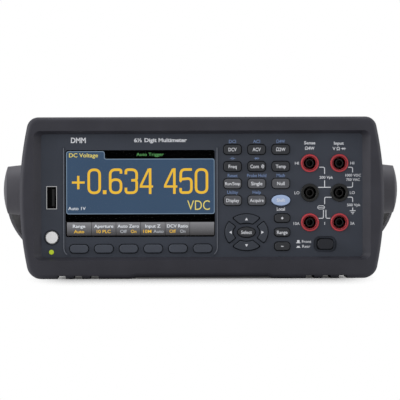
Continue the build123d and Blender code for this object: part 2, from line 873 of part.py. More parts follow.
with BuildPart() as data_ports:
    for x, width, height in ((lan_x, lan_w, lan_h), (usb_b_x, usb_b_w, usb_b_h)):
        with BuildSketch(facing(rear_face + 0.6)):
            with Locations((x, lan_z)):
                Rectangle(width + 2 * port_wall, height + 2 * port_wall)
        extrude(amount=port_depth)
        with BuildSketch(facing(rear_face + 0.6)):
            with Locations((x, lan_z)):
                Rectangle(width, height)
        extrude(amount=port_depth - port_wall, mode=Mode.SUBTRACT)
save(data_ports, "data_ports")

with BuildPart() as power_inlet:
    with BuildSketch(facing(rear_face + inlet_flange_t)):
        with Locations((inlet_x, inlet_z)):
            RectangleRounded(inlet_w + 2 * inlet_flange, inlet_h + 2 * inlet_flange, 2)
    extrude(amount=inlet_flange_t)
    with BuildSketch(facing(rear_face)):
        with Locations((inlet_x, inlet_z)):
            Rectangle(inlet_w + 2 * inlet_wall, inlet_h + 2 * inlet_wall)
    extrude(amount=inlet_depth)
    with BuildSketch(facing(rear_face + inlet_flange_t)):
        with Locations((inlet_x, inlet_z)):
            RectangleRounded(inlet_w, inlet_h, 1.5)
    extrude(amount=inlet_depth + inlet_flange_t - inlet_wall, mode=Mode.SUBTRACT)
    pin_spots = ((inlet_x - 7, inlet_z - 2), (inlet_x + 7, inlet_z - 2), (inlet_x, inlet_z + 2))
    with BuildSketch(facing(rear_face - inlet_depth + inlet_wall)):
        with Locations(*pin_spots):
            Rectangle(pin_t + 2 * seat, pin_w + 2 * seat)
    extrude(amount=inlet_wall, mode=Mode.SUBTRACT)
save(power_inlet, "power_inlet")

with BuildPart() as inlet_pins:
    with BuildSketch(facing(rear_face - inlet_depth + inlet_wall + pin_len)):
        with Locations(*pin_spots):
            Rectangle(pin_t, pin_w)
    extrude(amount=pin_len + inlet_wall + 4)
save(inlet_pins, "inlet_pins")

with BuildPart() as bnc_jacks:
    bnc_spots = [(bnc_x, z) for z in bnc_z]
    with BuildSketch(facing(rear_face + bnc_len)):
        with Locations(*bnc_spots):
            Circle(bnc_r)
    extrude(amount=bnc_len + rear_t + 6)
    with BuildSketch(facing(rear_face + bnc_flange_t)):
        with Locations(*bnc_spots):
            RegularPolygon(bnc_flange_r, 6)
    extrude(amount=bnc_flange_t)
    with BuildSketch(facing(rear_face + bnc_len)):
        with Locations(*bnc_spots):
            Circle(bnc_r - bnc_wall)
            Circle(bnc_core_r, mode=Mode.SUBTRACT)
    extrude(amount=bnc_len - bnc_flange_t, mode=Mode.SUBTRACT)
    lug_y = rear_face + bnc_len - lug_in
    for z in bnc_z:
        with BuildSketch(Plane(origin=(bnc_x - bnc_r - 1.0, lug_y, z), z_dir=(1, 0, 0))):
            Circle(lug_r)
        extrude(amount=1.5)
        with BuildSketch(Plane(origin=(bnc_x + bnc_r - 0.5, lug_y, z), z_dir=(1, 0, 0))):
            Circle(lug_r)
        extrude(amount=1.5)
save(bnc_jacks, "bnc_jacks")

# ---- ribbon between the two boards ----
with BuildPart() as ribbon_cable:
    with BuildSketch(Plane.YZ.offset(ribbon_x - ribbon_w / 2)):
        with BuildLine():
            FilletPolyline(
                (board_back, 34.0),
                (board_back + 12.0, 34.0),
                (board_back + 16.0, board_top + ribbon_t / 2),
                (plug_y, board_top + ribbon_t / 2),
                radius=3.5,
            )
        trace(line_width=ribbon_t)
    extrude(amount=ribbon_w)
save(ribbon_cable, "ribbon_cable")

# ---- screws ----
with BuildPart() as screws:
    with BuildSketch(facing(rear_face + screw_head_h)):
        with Locations(*rear_screws):
            Circle(screw_head_r)
    extrude(amount=screw_head_h)
    fillet(screws.edges().filter_by(GeomType.CIRCLE).group_by(Axis.Y)[-1], 0.6)
    with BuildSketch(facing(rear_face)):
        with Locations(*rear_screws):
            Circle(screw_r)
    extrude(amount=rear_t + 6)
    with BuildSketch(Plane.XY.offset(board_top)):
        with Locations(*post_spots):
            Circle(screw_head_r)
    extrude(amount=screw_head_h)
    with BuildSketch(Plane.XY.offset(board_top)):
        with Locations(*post_spots):
            Circle(pilot_r)
    extrude(amount=-(board_top - tray_z - tray_t))
save(screws, "screws")
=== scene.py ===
import json
import math
import bmesh
import bpy
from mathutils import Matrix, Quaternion, Vector


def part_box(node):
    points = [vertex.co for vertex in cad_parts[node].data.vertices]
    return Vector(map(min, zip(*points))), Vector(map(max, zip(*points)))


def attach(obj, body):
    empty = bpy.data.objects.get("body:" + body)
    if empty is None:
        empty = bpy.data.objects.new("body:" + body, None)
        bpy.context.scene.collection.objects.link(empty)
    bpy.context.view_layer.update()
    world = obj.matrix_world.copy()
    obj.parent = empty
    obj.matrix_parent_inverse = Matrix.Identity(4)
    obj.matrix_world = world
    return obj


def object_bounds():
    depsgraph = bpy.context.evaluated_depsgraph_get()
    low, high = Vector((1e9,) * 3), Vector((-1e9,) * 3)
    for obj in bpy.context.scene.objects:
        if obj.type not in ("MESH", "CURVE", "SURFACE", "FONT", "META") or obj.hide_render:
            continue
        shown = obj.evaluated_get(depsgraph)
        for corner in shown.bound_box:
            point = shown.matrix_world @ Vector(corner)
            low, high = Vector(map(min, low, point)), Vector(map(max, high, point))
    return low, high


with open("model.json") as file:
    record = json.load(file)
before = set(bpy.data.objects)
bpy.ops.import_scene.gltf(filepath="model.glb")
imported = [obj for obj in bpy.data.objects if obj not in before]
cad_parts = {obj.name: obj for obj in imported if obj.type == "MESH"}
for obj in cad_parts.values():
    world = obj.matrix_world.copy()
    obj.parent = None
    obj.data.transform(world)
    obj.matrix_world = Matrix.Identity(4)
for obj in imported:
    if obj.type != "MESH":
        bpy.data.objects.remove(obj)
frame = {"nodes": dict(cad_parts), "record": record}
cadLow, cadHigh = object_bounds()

mm = 0.001
nodes = frame["nodes"]
mounts = {m["name"]: Vector(m["pos_m"]) for m in frame["record"]["mounts"]}


def srgb(r, g, b):  # display values 0-255 to the linear values that shaders take
    return tuple(((c / 255 + 0.055) / 1.055) ** 2.4 if c > 10 else c / 255 / 12.92 for c in (r, g, b))


def middleOf(node):
    low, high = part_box(node)
    return (low + high) / 2


# materials: every finish has a grain bump, a slow colour drift and an uneven gloss
finishes = {
    "bumperRubber": dict(color=(54, 54, 62), rough=0.55, grain=1500, bump=0.10, drift=0.10, gloss=0.35),
    "panelPlastic": dict(color=(60, 65, 76), rough=0.60, grain=2600, bump=0.10, drift=0.06, gloss=0.35),
    "casePaint": dict(color=(208, 208, 204), rough=0.50, grain=1300, bump=0.22, drift=0.03, gloss=0.4),
    "rearPaint": dict(color=(196, 196, 192), rough=0.50, grain=1300, bump=0.22, drift=0.03, gloss=0.4),
    "handlePlastic": dict(color=(78, 77, 84), rough=0.52, grain=1900, bump=0.14, drift=0.08, gloss=0.4),
    "keyDark": dict(color=(50, 52, 57), rough=0.50, grain=3200, bump=0.06, drift=0.08, gloss=0.4),
    "keyGrey": dict(color=(91, 92, 97), rough=0.50, grain=3200, bump=0.06, drift=0.08, gloss=0.4),
    "navKey": dict(color=(58, 63, 73), rough=0.50, grain=3200, bump=0.06, drift=0.08, gloss=0.4),
    "softKey": dict(color=(70, 75, 86), rough=0.50, grain=3200, bump=0.06, drift=0.08, gloss=0.4),
    "selectorDark": dict(color=(34, 36, 43), rough=0.45, grain=3200, bump=0.05, drift=0.08, gloss=0.35),
    "keyBlue": dict(color=(176, 197, 235), rough=0.45, grain=3200, bump=0.05, drift=0.05, gloss=0.4),
    "powerWhite": dict(color=(250, 250, 250), rough=0.42, grain=2600, bump=0.05, drift=0.03, gloss=0.4),
    "ringRed": dict(color=(192, 56, 66), rough=0.32, grain=2600, bump=0.05, drift=0.10, gloss=0.5),
    # painted shade: dark red for the shaded inner lip of the red terminals
    "ringRedPaintedShade": dict(color=(96, 20, 26), rough=0.4, grain=2600, bump=0.03, drift=0.1, gloss=0.4),
    "ringDark": dict(color=(11, 12, 13), rough=0.30, grain=2600, bump=0.05, drift=0.08, gloss=0.5),
    "contactDark": dict(color=(12, 9, 9), rough=0.35, grain=2600, bump=0.04, drift=0.15, gloss=0.5),
    "portPlastic": dict(color=(16, 16, 18), rough=0.45, grain=2400, bump=0.06, drift=0.08, gloss=0.4),
    "portMetal": dict(color=(196, 196, 198), rough=0.28, grain=900, bump=0.04, drift=0.06, metal=1.0),
    "usbShell": dict(color=(214, 214, 216), rough=0.25, grain=900, bump=0.04, drift=0.08, metal=0.9),
    "steel": dict(color=(186, 187, 190), rough=0.36, grain=700, bump=0.05, drift=0.07, metal=1.0),
    "board": dict(color=(28, 92, 52), rough=0.45, grain=900, bump=0.05, drift=0.12, gloss=0.5),
    "component": dict(color=(30, 30, 32), rough=0.5, grain=2000, bump=0.05, drift=0.1, gloss=0.4),
    "coreIron": dict(color=(90, 86, 84), rough=0.55, grain=1800, bump=0.2, drift=0.15, metal=0.6),
    "coilTape": dict(color=(196, 160, 70), rough=0.4, grain=500, bump=0.1, drift=0.12, gloss=0.5),
    "matRubber": dict(color=(120, 122, 126), rough=0.7, grain=1500, bump=0.08, drift=0.06, gloss=0.3),
    "ribbonGrey": dict(color=(150, 152, 156), rough=0.5, grain=1200, bump=0.1, drift=0.06, gloss=0.4),
    "displayBlack": dict(color=(5, 6, 7), rough=0.25, grain=2600, bump=0.01, drift=0.05, gloss=0.5),
    "inkWhite": dict(color=(238, 240, 246), rough=0.6, grain=2600, bump=0.02, drift=0.05, gloss=0.3),
    "inkBlue": dict(color=(126, 148, 190), rough=0.6, grain=2600, bump=0.02, drift=0.05, gloss=0.3),
    "inkDark": dict(color=(48, 50, 54), rough=0.6, grain=2600, bump=0.02, drift=0.05, gloss=0.3),
    # painted highlight: pale grey for the lit edge of the ridges beside the display
    "paintedHighlightGrey": dict(color=(118, 122, 132), rough=0.6, grain=2600, bump=0.02, drift=0.05, gloss=0.3),
}


def makeFinish(name, look):
    mat = bpy.data.materials.new(name)
    mat.use_nodes = True
    tree = mat.node_tree
    shader = tree.nodes["Principled BSDF"]
    shader.inputs["Metallic"].default_value = look.get("metal", 0.0)
    shader.inputs["Specular IOR Level"].default_value = look.get("gloss", 0.5)
    coords = tree.nodes.new("ShaderNodeTexCoord")
    drift = tree.nodes.new("ShaderNodeTexNoise")  # slow cloudy drift of the colour
    drift.inputs["Scale"].default_value = 60
    drift.inputs["Detail"].default_value = 4
    grain = tree.nodes.new("ShaderNodeTexNoise")  # moulded or sprayed grain
    grain.inputs["Scale"].default_value = look["grain"]
    grain.inputs["Detail"].default_value = 3
    ramp = tree.nodes.new("ShaderNodeValToRGB")
    base = srgb(*look["color"])
    ramp.color_ramp.elements[0].position = 0.3
    ramp.color_ramp.elements[1].position = 0.7
    ramp.color_ramp.elements[0].color = (*[c * (1 - look["drift"]) for c in base], 1)
    ramp.color_ramp.elements[1].color = (*[min(1, c * (1 + look["drift"])) for c in base], 1)
    spread = tree.nodes.new("ShaderNodeMapRange")
    spread.inputs["To Min"].default_value = look["rough"] - 0.06
    spread.inputs["To Max"].default_value = look["rough"] + 0.06
    bump = tree.nodes.new("ShaderNodeBump")
    bump.inputs["Strength"].default_value = look["bump"]
    bump.inputs["Distance"].default_value = 0.1 * mm
    link = tree.links.new
    link(coords.outputs["Object"], drift.inputs["Vector"])
    link(coords.outputs["Object"], grain.inputs["Vector"])
    link(drift.outputs["Fac"], ramp.inputs["Fac"])
    link(ramp.outputs["Color"], shader.inputs["Base Color"])
    link(grain.outputs["Fac"], spread.inputs["Value"])
    link(spread.outputs["Result"], shader.inputs["Roughness"])
    link(grain.outputs["Fac"], bump.inputs["Height"])
    link(bump.outputs["Normal"], shader.inputs["Normal"])
    return mat


mats = {name: makeFinish(name, look) for name, look in finishes.items()}

# lit colours of the display
screenColors = {
    "screenBlue": (61, 81, 105),
    "screenEdge": (126, 146, 166),
    "screenYellow": (236, 188, 62),
    "screenPale": (226, 208, 110),
    "screenGreen": (104, 176, 104),
    "screenWhite": (226, 230, 236),
    "screenSoft": (176, 180, 186),
    "screenBlack": (1, 1, 1),
    "screenLine": (28, 28, 30),
}


def makeGlow(name, color, top=None):
    mat = bpy.data.materials.new(name)
    mat.use_nodes = True
    tree = mat.node_tree
    shader = tree.nodes["Principled BSDF"]
    shader.inputs["Base Color"].default_value = (0.001, 0.001, 0.001, 1)
    shader.inputs["Roughness"].default_value = 0.5
    shader.inputs["Specular IOR Level"].default_value = 0.0
    shader.inputs["Emission Strength"].default_value = 1.0
    coords = tree.nodes.new("ShaderNodeTexCoord")
    cells = tree.nodes.new("ShaderNodeTexNoise")  # faint unevenness of the backlight
    cells.inputs["Scale"].default_value = 45
    ramp = tree.nodes.new("ShaderNodeValToRGB")
    base = srgb(*color)
    ramp.color_ramp.elements[0].color = (*[c * 0.96 for c in base], 1)
    ramp.color_ramp.elements[1].color = (*[min(1, c * 1.05) for c in base], 1)
    tree.links.new(coords.outputs["Object"], cells.inputs["Vector"])
    tree.links.new(cells.outputs["Fac"], ramp.inputs["Fac"])
    tree.links.new(ramp.outputs["Color"], shader.inputs["Emission Color"])
    if top:  # vertical shade from the bottom colour to the top one
        low, high, topColor = top
        split = tree.nodes.new("ShaderNodeSeparateXYZ")
        span = tree.nodes.new("ShaderNodeMapRange")
        span.inputs["From Min"].default_value = low
        span.inputs["From Max"].default_value = high
        ramp.color_ramp.elements[0].color = (*base, 1)
        ramp.color_ramp.elements[1].color = (*srgb(*topColor), 1)
        tree.links.new(coords.outputs["Object"], split.inputs["Vector"])
        tree.links.new(split.outputs["Z"], span.inputs["Value"])
        tree.links.new(span.outputs["Result"], ramp.inputs["Fac"])
    return mat


for name, color in screenColors.items():
    mats[name] = makeGlow(name, color)


def shadeInside(mat, front, depth, dark):  # painted shade: the colour goes dark from the front edge inwards, as shade falls inside an opening
    tree = mat.node_tree
    shader = tree.nodes["Principled BSDF"]
    coords = tree.nodes.new("ShaderNodeTexCoord")
    split = tree.nodes.new("ShaderNodeSeparateXYZ")
    span = tree.nodes.new("ShaderNodeMapRange")
    span.inputs["From Min"].default_value = front
    span.inputs["From Max"].default_value = front + depth
    mix = tree.nodes.new("ShaderNodeMix")
    mix.data_type = "RGBA"
    mix.inputs["B"].default_value = (dark, dark, dark, 1)
    old = shader.inputs["Base Color"].links[0].from_socket
    tree.links.new(coords.outputs["Object"], split.inputs["Vector"])
    tree.links.new(split.outputs["Y"], span.inputs["Value"])
    tree.links.new(span.outputs["Result"], mix.inputs["Factor"])
    tree.links.new(old, mix.inputs["A"])
    tree.links.new(mix.outputs["Result"], shader.inputs["Base Color"])


# painted shade on the inner walls of the USB shell, behind its front edge
shadeInside(mats["usbShell"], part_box("usb_port")[0].y + 0.1 * mm, 0.6 * mm, 0.004)


def makeWindow():
    look = dict(tint=(2, 2, 3), cover=0.03, rough=0.12)
    surface = dict(color=look["tint"], rough=look["rough"], grain=400, bump=0.004, drift=0.05, gloss=0.5)
    mat = makeFinish("windowClear", surface)
    mat.node_tree.nodes["Principled BSDF"].inputs["Alpha"].default_value = look["cover"]
    return mat


def makeLed():
    look = dict(color=(186, 208, 36), glow=0.28)
    surface = dict(color=look["color"], rough=0.25, grain=1500, bump=0.02, drift=0.1, gloss=0.6)
    mat = makeFinish("ledGreen", surface)
    shader = mat.node_tree.nodes["Principled BSDF"]
    shader.inputs["Emission Color"].default_value = (*srgb(*look["color"]), 1)
    shader.inputs["Emission Strength"].default_value = look["glow"]
    return mat


mats["windowClear"] = makeWindow()
mats["ledGreen"] = makeLed()

nodeFinish = {
    "front_bumper": "bumperRubber", "rear_bumper": "bumperRubber", "case_sleeve": "casePaint",
    "front_panel": "panelPlastic", "display_window": "windowClear", "display_module": "displayBlack",
    "key_mat": "matRubber", "front_board": "board", "usb_port": "usbShell", "usb_tongue": "portPlastic",
    "led_lens": "ledGreen", "jack_rings_red": "ringRed", "jack_rings_black": "ringDark",
    "jack_contacts": "contactDark", "handle_pivots": "handlePlastic", "chassis": "steel",
    "main_board": "board", "board_components": "component", "selector_switch": "portPlastic",
    "analog_shield": "steel", "transformer_core": "coreIron", "transformer_coil": "coilTape",
    "rear_panel": "rearPaint", "blank_plate": "steel", "data_ports": "portMetal",
    "power_inlet": "portPlastic", "inlet_pins": "portMetal", "bnc_jacks": "portMetal",
    "ribbon_cable": "ribbonGrey", "screws": "steel", "handle_frame": "handlePlastic",
    "selector_button": "selectorDark", "selector_rod": "steel", "power_button": "powerWhite",
    "key_shift": "keyBlue",
}
for name in ("key_run_stop", "key_single", "key_null", "key_display", "key_acquire"):
    nodeFinish[name] = "keyGrey"
for name in ("key_up", "key_down", "key_left", "key_right"):
    nodeFinish[name] = "navKey"
for name, obj in nodes.items():
    finish = nodeFinish.get(name, "softKey" if name.startswith("softkey") else "keyDark")
    for place in obj.material_slots:
        place.material = mats[finish]
print("finishes on", len(nodes), "nodes")


# flat marks: outlines in the X-Z plane, turned into thin raised ink
def roundPath(points, radius, closed=False, steps=5):
    out = []
    count = len(points)
    for i, p in enumerate(points):
        p = Vector(p)
        if not closed and i in (0, count - 1):
            out.append(p)
            continue
        before = Vector(points[i - 1]) - p
        after = Vector(points[(i + 1) % count]) - p
        cut = min(radius, before.length * 0.49, after.length * 0.49)
        start = p + before.normalized() * cut
        end = p + after.normalized() * cut
        for k in range(steps + 1):
            t = k / steps
            out.append((1 - t) ** 2 * start + 2 * t * (1 - t) * p + t * t * end)
    return out


def ribbon(points, width, closed=False):  # quads along a path, mitred at the corners
    verts, faces = [], []
    count = len(points)
    for i, p in enumerate(points):
        back = points[i - 1] if closed or i else p
        ahead = points[(i + 1) % count] if closed or i < count - 1 else p
        first = (p - back).normalized() if (p - back).length else (ahead - p).normalized()
        second = (ahead - p).normalized() if (ahead - p).length else first
        along = (first + second).normalized()
        across = Vector((-along.y, along.x)) * (width / 2 / max(0.5, along.dot(first)))
        verts += [p + across, p - across]
    for i in range(count if closed else count - 1):
        a, b = 2 * i, 2 * ((i + 1) % count)
        faces.append((a, a + 1, b + 1, b))
    return verts, faces


def arcPoints(cx, cz, rx, rz, start, end, steps=14):
    turn = [math.radians(start + (end - start) * k / steps) for k in range(steps + 1)]
    return [Vector((cx + rx * math.cos(a), cz + rz * math.sin(a))) for a in turn]


def capHeight():  # height of a capital at text size 1
    verts, faces = rawText("H", 0)
    return max(v.y for v in verts) - min(v.y for v in verts)


def rawText(words, weight):
    curve = bpy.data.curves.new("words", "FONT")
    curve.body = words
    curve.offset = weight
    curve.resolution_u = 4
    holder = bpy.data.objects.new("words", curve)
    bpy.context.scene.collection.objects.link(holder)
    mesh = bpy.data.meshes.new_from_object(holder.evaluated_get(bpy.context.evaluated_depsgraph_get()))
    verts = [v.co.xy for v in mesh.vertices]
    faces = [tuple(p.vertices) for p in mesh.polygons]
    bpy.data.objects.remove(holder)
    bpy.data.curves.remove(curve)
    bpy.data.meshes.remove(mesh)
    return [Vector(v) for v in verts], faces


capital = capHeight()


def textMark(words, x, z, height, width=None, weight=0.004, align="middle"):
    verts, faces = rawText(words, weight)
    scale = height / capital
    left, right = min(v.x for v in verts), max(v.x for v in verts)
    stretch = width / ((right - left) * scale) if width else 1.0
    anchor = {"middle": (left + right) / 2, "left": left, "right": right}[align]
    placed = [(x + (v.x - anchor) * scale * stretch, z + v.y * scale - height / 2) for v in verts]
    return [Vector(v) for v in placed], faces


def glyph(words, x0, x1, z0, z1, weight=0.0):  # one mark stretched to a given box
    verts, faces = rawText(words, weight)
    left, right = min(v.x for v in verts), max(v.x for v in verts)
    low, high = min(v.y for v in verts), max(v.y for v in verts)
    across, up = (x1 - x0) / (right - left), (z1 - z0) / (high - low)
    return [Vector((x0 + (v.x - left) * across, z0 + (v.y - low) * up)) for v in verts], faces


def area(points):
    return [Vector(p) for p in points], [tuple(range(len(points)))]


def rectangle(left, right, low, high):
    return area([(left, low), (right, low), (right, high), (left, high)])


def line(points, width, radius=0.0, closed=False):
    path = roundPath(points, radius, closed) if radius else [Vector(p) for p in points]
    return ribbon(path, width, closed)


def inkPiece(name, marks, y, mat, body, depth=0.05, facing=-1):  # millimetres in, metres out
    build = bmesh.new()
    for verts, faces in marks:
        made = [build.verts.new((v.x * mm, y, v.y * mm)) for v in verts]
        for face in faces:
            try:
                build.faces.new([made[i] for i in face])
            except ValueError:
                continue
    bmesh.ops.recalc_face_normals(build, faces=build.faces)
    grown = bmesh.ops.extrude_face_region(build, geom=build.faces[:])
    moved = [g for g in grown["geom"] if isinstance(g, bmesh.types.BMVert)]
    bmesh.ops.translate(build, verts=moved, vec=(0, facing * depth * mm, 0))
    bmesh.ops.recalc_face_normals(build, faces=build.faces)
    mesh = bpy.data.meshes.new(name)
    build.to_mesh(mesh)
    build.free()
    mesh.materials.append(mats[mat])
    piece = bpy.data.objects.new(name, mesh)
    bpy.context.scene.collection.objects.link(piece)
    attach(piece, body)
    return piece


ridgeHeight = 0.5
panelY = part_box("front_panel")[0].y + ridgeHeight * mm
skin = 0.01 * mm  # ink starts this far inside its surface
weights = dict(title=0.03, label=0.02, key=0.012, range=0.01, terminal=0.006)  # how far lettering swells

# legends on the keys: words, cap height, width, sideways shift
keyLegend = {
    "key_dcv": ("DCV", 2.15, 5.2, 0), "key_acv": ("ACV", 2.15, 5.3, 0), "key_ohms": ("Ω2W", 2.15, 6.0, 0),
    "key_freq": ("Freq", 2.15, 5.2, 0), "key_cont": ("Cont", 2.15, 5.6, -1.3),
    "key_temp": ("Temp", 2.1, 6.4, 0), "key_run_stop": ("Run/Stop", 1.95, 9.6, 0),
    "key_single": ("Single", 2.1, 7.3, 0),
    "key_null": ("Null", 2.15, 4.9, 0), "key_display": ("Display", 2.1, 8.4, 0),
    "key_acquire": ("Acquire", 2.1, 9.0, 0), "key_shift": ("Shift", 2.15, 5.4, 0),
    "key_select": ("Select", 2.1, 7.0, 0), "key_range": ("Range", 2.1, 6.8, 0),
}
for name, (words, height, width, shift) in keyLegend.items():
    c = middleOf(name) * 1000
    marks = [textMark(words, c.x + shift, c.z, height, width, weights["key"])]
    if name == "key_cont":  # small sound waves beside the word
        for k, r in enumerate((0.9, 1.6, 2.3)):
            marks.append(ribbon(arcPoints(c.x + 2.3, c.z, r, r * 0.75, -50, 50, 8), 0.32))
    inkPiece("legend_" + name, marks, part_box(name)[0].y + skin, "inkWhite", name)

arrow = dict(half=1.0, reach=0.85)
arrowTurns = {"key_right": 0, "key_up": 90, "key_left": 180, "key_down": 270}
for name, turn in arrowTurns.items():
    c = middleOf(name) * 1000
    turned = math.cos(math.radians(turn)), math.sin(math.radians(turn))
    tips = [(arrow["reach"], 0), (-arrow["reach"], arrow["half"]), (-arrow["reach"], -arrow["half"])]
    points = [(c.x + p * turned[0] - q * turned[1], c.z + p * turned[1] + q * turned[0]) for p, q in tips]
    inkPiece("legend_" + name, [area(points)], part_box(name)[0].y + skin, "inkWhite", name)

sign = dict(reach=0.8, width=0.5)
for name in ("key_plus", "key_minus"):
    c = middleOf(name) * 1000
    r = sign["reach"]
    marks = [line([(c.x - r, c.z), (c.x + r, c.z)], sign["width"])]
    if name == "key_plus":
        h = sign["width"] / 2
        marks.append(line([(c.x, c.z + h), (c.x, c.z + r)], sign["width"]))
        marks.append(line([(c.x, c.z - r), (c.x, c.z - h)], sign["width"]))
    inkPiece("legend_" + name, marks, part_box(name)[0].y + skin, "inkWhite", name)
print("key legends done")

# blue second functions above the keys
secondLegend = dict(rise=5.2, height=2.0)
secondWords = {
    "key_dcv": ("DCI", 4.5), "key_acv": ("ACI", 4.5), "key_ohms": ("Ω4W", 5.6),
    "key_run_stop": ("Reset", 6.3), "key_single": ("Probe Hold", 12.4), "key_null": ("Math", 5.4),
    "key_display": ("Utility", 7.0),
    "key_acquire": ("Help", 5.3),
}
marks = []
for name, (words, width) in secondWords.items():
    c = middleOf(name) * 1000
    z = c.z + secondLegend["rise"]
    marks.append(textMark(words, c.x, z, secondLegend["height"], width, weights["key"]))
c = middleOf("key_freq") * 1000  # capacitor sign
z = c.z + secondLegend["rise"]
for s in (-1, 1):
    marks.append(line([(c.x + s * 0.35, z - 0.9), (c.x + s * 0.35, z + 0.9)], 0.32))
    marks.append(line([(c.x + s * 0.51, z), (c.x + s * 1.7, z)], 0.28))


def diodeMarks(x, z, r):
    return [
        area([(x - r, z + r), (x + r * 0.8, z), (x - r, z - r)]),
        line([(x + r, z - r), (x + r, z + r)], 0.3),
        line([(x - r * 2.1, z), (x - r, z)], 0.3),
        line([(x + r + 0.15, z), (x + r * 2.1, z)], 0.3),
    ]


c = middleOf("key_cont") * 1000
marks += diodeMarks(c.x, c.z + secondLegend["rise"], 0.8)
inkPiece("legend_second_functions", marks, panelY + skin, "inkBlue", "root")

# white legends on the panel
hiSense, hiInput = mounts["front_sense_hi"] * 1000, mounts["front_input_hi"] * 1000
loSense, loInput = mounts["front_sense_lo"] * 1000, mounts["front_input_lo"] * 1000
tenAmp, threeAmp = mounts["front_current_10a"] * 1000, mounts["front_current_3a"] * 1000
between = (hiSense.x + hiInput.x) / 2
outside = hiInput.x + 8.5
beside = 8.3
window = [v * 1000 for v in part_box("display_window")]
shiftKey = middleOf("key_shift") * 1000
marks = [
    textMark("DMM", window[0].x + 8.4, 89.0, 3.2, 9.6, weights["title"]),
    textMark("6½ Digit Multimeter", -26.6, 89.0, 2.35, 34.0, weights["title"]),
    textMark("Local", shiftKey.x, shiftKey.z - 5.6, 2.0, 5.2, weights["label"]),
    textMark("Sense", hiSense.x, hiSense.z + 13.1, 1.9, 7.2, weights["label"]),
    textMark("Ω4W", hiSense.x, hiSense.z + 9.6, 1.9, 6.1, weights["label"]),
    textMark("Input", hiInput.x - 0.3, hiInput.z + 12.8, 1.9, 6.3, weights["label"]),
    textMark("V", hiInput.x - 3.4, hiInput.z + 9.3, 1.9, 1.9, weights["label"]),
    textMark("Ω", hiInput.x - 0.7, hiInput.z + 9.3, 1.9, 2.1, weights["label"]),
    *diodeMarks(hiInput.x + 2.7, hiInput.z + 9.3, 0.75),
    textMark("HI", hiSense.x - beside, hiSense.z, 1.8, 2.5, weights["terminal"]),
    textMark("HI", hiInput.x + beside, hiInput.z, 1.8, 2.5, weights["terminal"]),
    textMark("LO", loSense.x - beside, loSense.z, 1.8, 3.2, weights["terminal"]),
    textMark("LO", loInput.x + beside, loInput.z, 1.8, 3.2, weights["terminal"]),
    textMark("10A", tenAmp.x - beside - 0.3, tenAmp.z - 0.7, 1.8, 4.0, weights["terminal"]),
    textMark("3A", threeAmp.x + beside, threeAmp.z - 0.7, 1.8, 2.8, weights["terminal"]),
    textMark("I", between, tenAmp.z - 0.7, 1.8, None, weights["label"]),
    textMark("200 Vpk", between + 1.1, loSense.z + 9.9, 1.6, 8.8, weights["range"]),
    textMark("1000 VDC", outside + 0.4, loInput.z + 11.2, 1.6, 10.0, weights["range"]),
    textMark("750 VAC", outside + 0.3, loInput.z + 8.4, 1.6, 8.8, weights["range"]),
    textMark("500 Vpk", outside + 0.7, loInput.z - 7.9, 1.6, 8.6, weights["range"]),
    textMark("Front", 67.2, 23.5, 1.75, 6.0, weights["range"]),
    textMark("Rear", 67.0, 20.4, 1.75, 5.3, weights["range"]),
]
bracket = dict(width=0.5, radius=1.0, clear=5.0)
w, r, k = bracket["width"], bracket["radius"], bracket["clear"]
senseRow, lowRow = loSense.z + 3.5, loInput.z - 2.9
routes = [
    ([(hiSense.x + k + 1.1, hiSense.z - 2.6), (between, hiSense.z - 2.6), (between, loSense.z + 12.1)], r),
    ([(between, loSense.z + 8.0), (between, senseRow + w / 2)], 0),
    ([(loSense.x + k + 0.3, senseRow), (loInput.x - k - 0.6, loInput.z + 3.5)], 0),
    ([(hiInput.x + k + 0.6, hiInput.z - 2.7), (outside, hiInput.z - 2.7), (outside, loInput.z + 13.0)], r),
    ([(outside, loInput.z + 6.7), (outside, loInput.z + 3.5), (loInput.x + k - 0.1, loInput.z + 3.5)], r),
    ([(loInput.x - k + 0.1, lowRow), (between, lowRow), (between, loInput.z - 7.4)], r),
    ([(loInput.x + k + 0.2, lowRow), (outside, lowRow), (outside, loInput.z - 6.0)], r),
]
for s, reach in ((-1, tenAmp.x + k + 0.7), (1, threeAmp.x - k - 0.9)):
    x = between + s * 0.8
    routes.append(([(x, tenAmp.z + 8.0), (x, tenAmp.z + 2.6), (reach, tenAmp.z + 2.6)], r))
routes.append(([(outside, loInput.z - 9.6), (outside, loInput.z - 11.4)], 0))
marks += [line(points, w, bend) for points, bend in routes]
for drop, half in ((11.6, 1.9), (12.6, 1.15), (13.6, 0.5)):  # earth sign
    marks.append(line([(outside - half, loInput.z - drop), (outside + half, loInput.z - drop)], 0.42))
fuse = dict(x=between - 2.3, z=loInput.z - 9.4, half=2.2, r=1.05)
x, z, h, r = fuse["x"], fuse["z"], fuse["half"], fuse["r"]
capsule = arcPoints(x - h + r, z, r, r, 90, 270, 8) + arcPoints(x + h - r, z, r, r, -90, 90, 8)
marks.append(ribbon(capsule, 0.35, True))
marks.append(line([(x - h + 0.3, z), (x + h - 0.3, z)], 0.3))
icon = dict(x=61.9, out=23.0, into=20.0, half=1.35, neck=0.6, low=0.55, high=0.1)
for z, tall in ((icon["out"], 1.5), (icon["into"], 0.8)):  # button out, button in
    x, h = icon["x"], icon["half"]
    neck, step = h * icon["neck"], z - icon["high"]
    marks.append(rectangle(x - h, x + h, z - icon["low"], step))
    marks.append(rectangle(x - neck, x + neck, step, step + tall))
inkPiece("legend_panel", marks, panelY + skin, "inkWhite", "root")

# painted highlight: a pale line along the edge of the two raised lines beside the display, where light
# catches them
ridge = dict(width=0.45, height=0.05)
marks = []
for x, side in ((window[0].x - 1.15, 1), (window[1].x + 1.45, -1)):
    foot = [(x + side * (5 - 5 * math.cos(a)), 19.6 - 5 * math.sin(a)) for a in (0, 0.3, 0.6, 0.9)]
    marks.append(line([(x, 84.0), *foot], ridge["width"]))
inkPiece("ridge_highlight", marks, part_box("front_panel")[0].y + skin, "paintedHighlightGrey", "root", ridge["height"])
